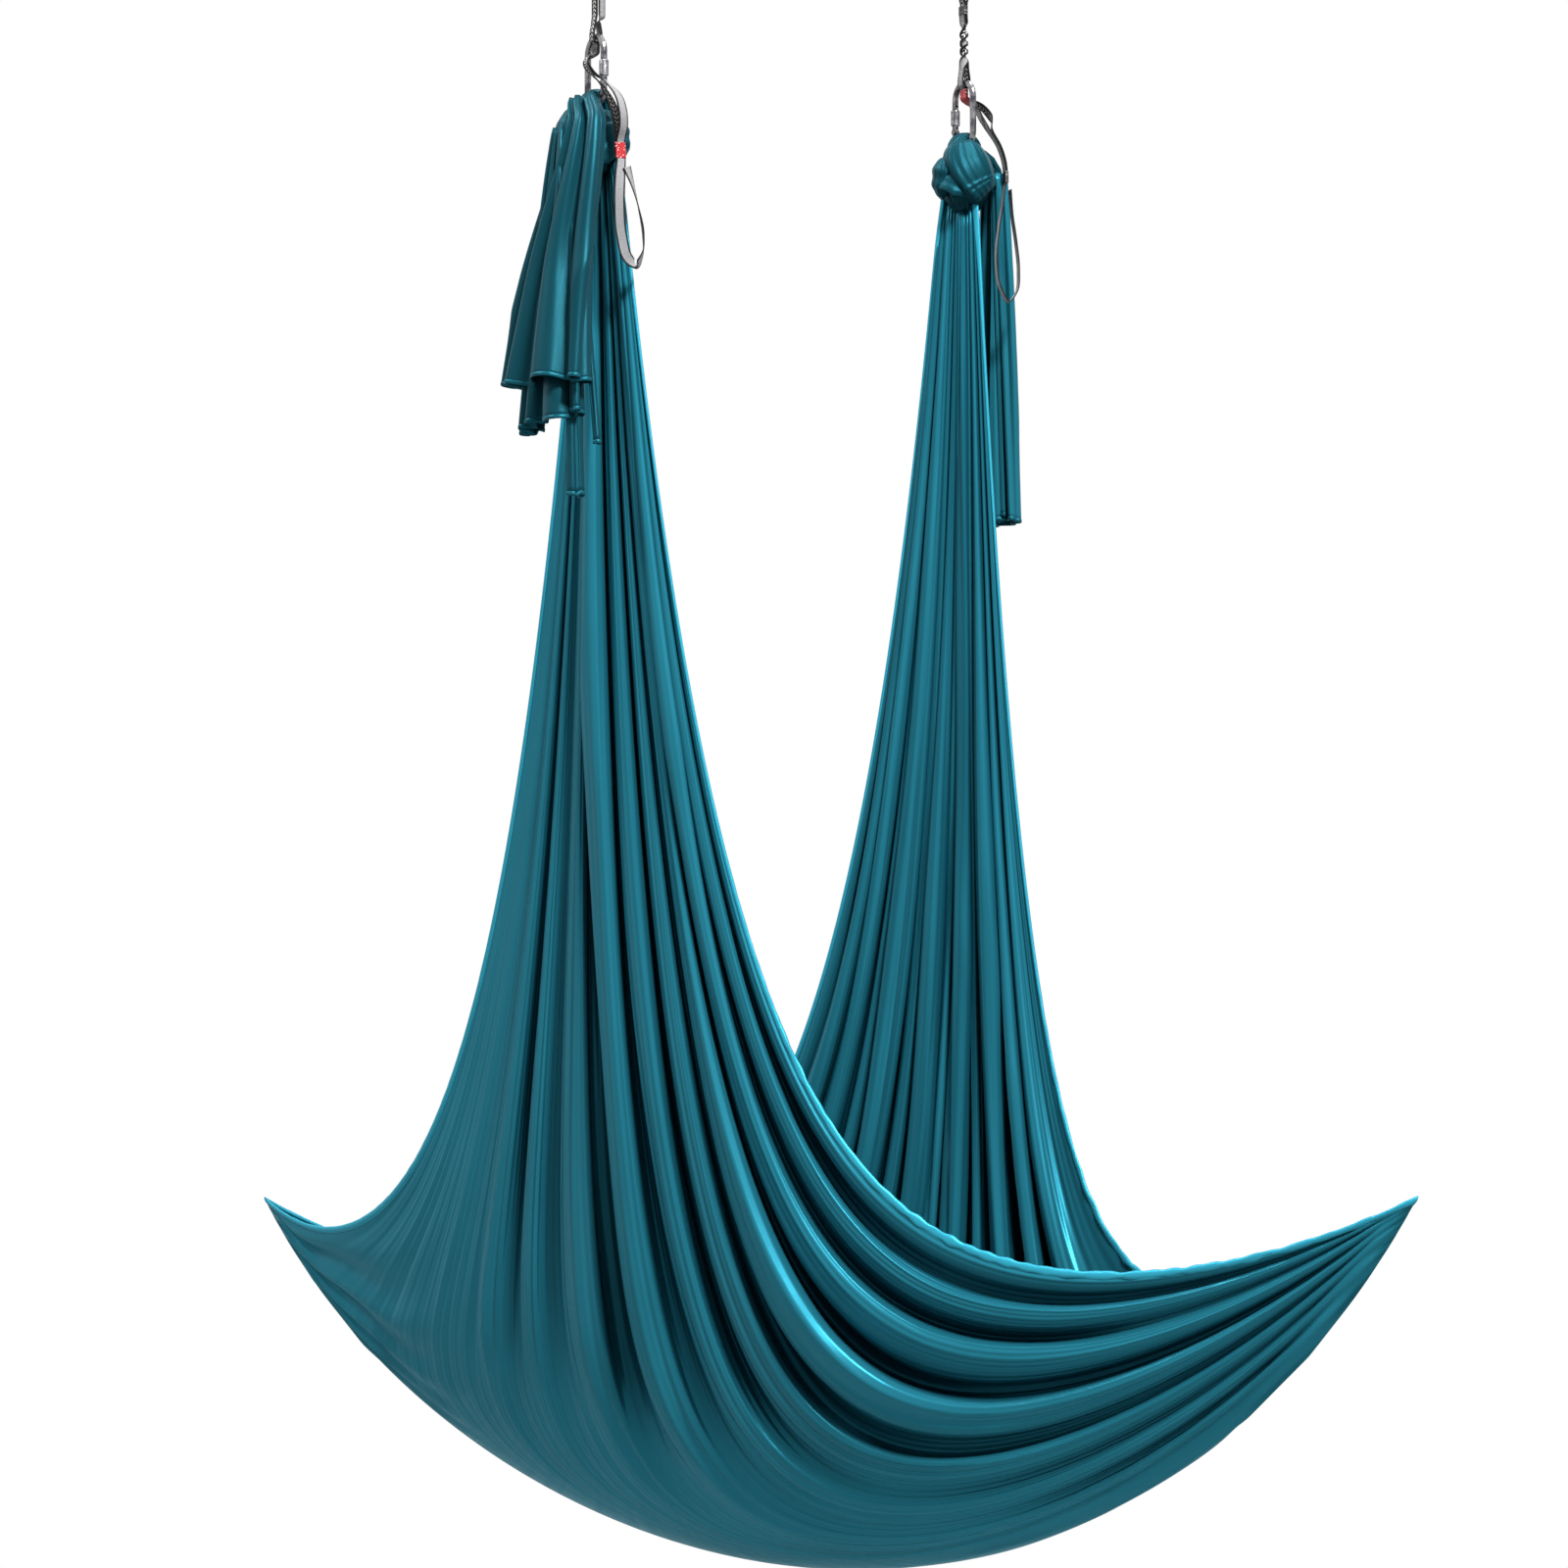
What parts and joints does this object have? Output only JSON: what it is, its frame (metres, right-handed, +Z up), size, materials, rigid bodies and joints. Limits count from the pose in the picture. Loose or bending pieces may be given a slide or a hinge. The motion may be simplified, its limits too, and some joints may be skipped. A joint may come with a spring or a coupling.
{
  "type": "aerial hammock",
  "caption": "Fabric sling knotted over two carabiners, each clipped in a daisy chain strap that hangs from a ceiling hook.",
  "frame": {"origin": "midway between the two strap eyes, at the height where the hooks bear in them", "axes": "+Z up; X along the line of the two strap eyes; the cloth's edges are drawn out to a point on each side of that line, one towards +X and -Y and one towards -X and +Y"},
  "size_m": [0.779, 1.8706, 2.2151],
  "materials": {
    "petrol_tricot": "satin nylon tricot with a soft sheen",
    "carabiner_steel": "smooth polished steel",
    "spring_steel": "bare spring wire",
    "black_webbing": "woven black webbing, matt",
    "grey_webbing": "woven silver-grey webbing, matt",
    "black_thread": "sewn thread",
    "red_thread": "sewn thread"
  },
  "bodies": {
    "straps": {"left_strap_black_band": "black_webbing", "left_strap_grey_band": "grey_webbing", "left_pocket_tack": "black_thread", "left_eye_tack": "black_thread", "left_chain_black_band": "black_webbing", "left_chain_grey_band": "grey_webbing", "left_chain_tack": "red_thread", "right_strap_black_band": "black_webbing", "right_strap_grey_band": "grey_webbing", "right_pocket_tack": "red_thread", "right_eye_tack": "black_thread", "right_chain_black_band": "black_webbing", "right_chain_grey_band": "grey_webbing", "right_chain_tack": "black_thread"},
    "sling": {"sling_cloth": "petrol_tricot", "left_knot": "petrol_tricot", "left_carabiner_body": "carabiner_steel", "left_hinge_pin": "carabiner_steel", "right_knot": "petrol_tricot", "right_carabiner_body": "carabiner_steel", "right_hinge_pin": "carabiner_steel"},
    "left_gate": {"left_gate": "carabiner_steel", "left_latch_pin": "carabiner_steel", "left_gate_plunger": "carabiner_steel", "left_gate_spring": "spring_steel"},
    "left_sleeve": {"left_locking_sleeve": "carabiner_steel"},
    "left_loose_end": {"left_cloth_end": "petrol_tricot"},
    "right_gate": {"right_gate": "carabiner_steel", "right_latch_pin": "carabiner_steel", "right_gate_plunger": "carabiner_steel", "right_gate_spring": "spring_steel"},
    "right_sleeve": {"right_locking_sleeve": "carabiner_steel"},
    "right_loose_end": {"right_cloth_end": "petrol_tricot"}
  },
  "joints": [
    {"name": "sling_swing", "type": "hinge", "parent": "straps", "child": "sling", "pos_m": [0, 0, -0.188], "axis": [1, 0, 0], "range_deg": [-4, 40]},
    {"name": "left_gate_hinge", "type": "hinge", "parent": "sling", "child": "left_gate", "pos_m": [-0.29, -0.0235, -0.231], "axis": [-1, 0, 0], "range_deg": [0, 20], "stiffness_Nm_per_rad": 0.15, "springref_deg": -17.19},
    {"name": "left_sleeve_slide", "type": "slide", "parent": "left_gate", "child": "left_sleeve", "axis": [0, 0, 1], "range_m": [0, 0.0085]},
    {"name": "left_loose_end_swing", "type": "hinge", "parent": "sling", "child": "left_loose_end", "pos_m": [-0.3471, 0, -0.3003], "axis": [0, 1, 0], "range_deg": [0, 20]},
    {"name": "right_gate_hinge", "type": "hinge", "parent": "sling", "child": "right_gate", "pos_m": [0.29, 0.0235, -0.231], "axis": [1, 0, 0], "range_deg": [0, 20], "stiffness_Nm_per_rad": 0.15, "springref_deg": -17.19},
    {"name": "right_sleeve_slide", "type": "slide", "parent": "right_gate", "child": "right_sleeve", "axis": [0, 0, 1], "range_m": [0, 0.0085]},
    {"name": "right_loose_end_swing", "type": "hinge", "parent": "sling", "child": "right_loose_end", "pos_m": [0.3471, 0, -0.3003], "axis": [0, -1, 0], "range_deg": [0, 20]}
  ]
}
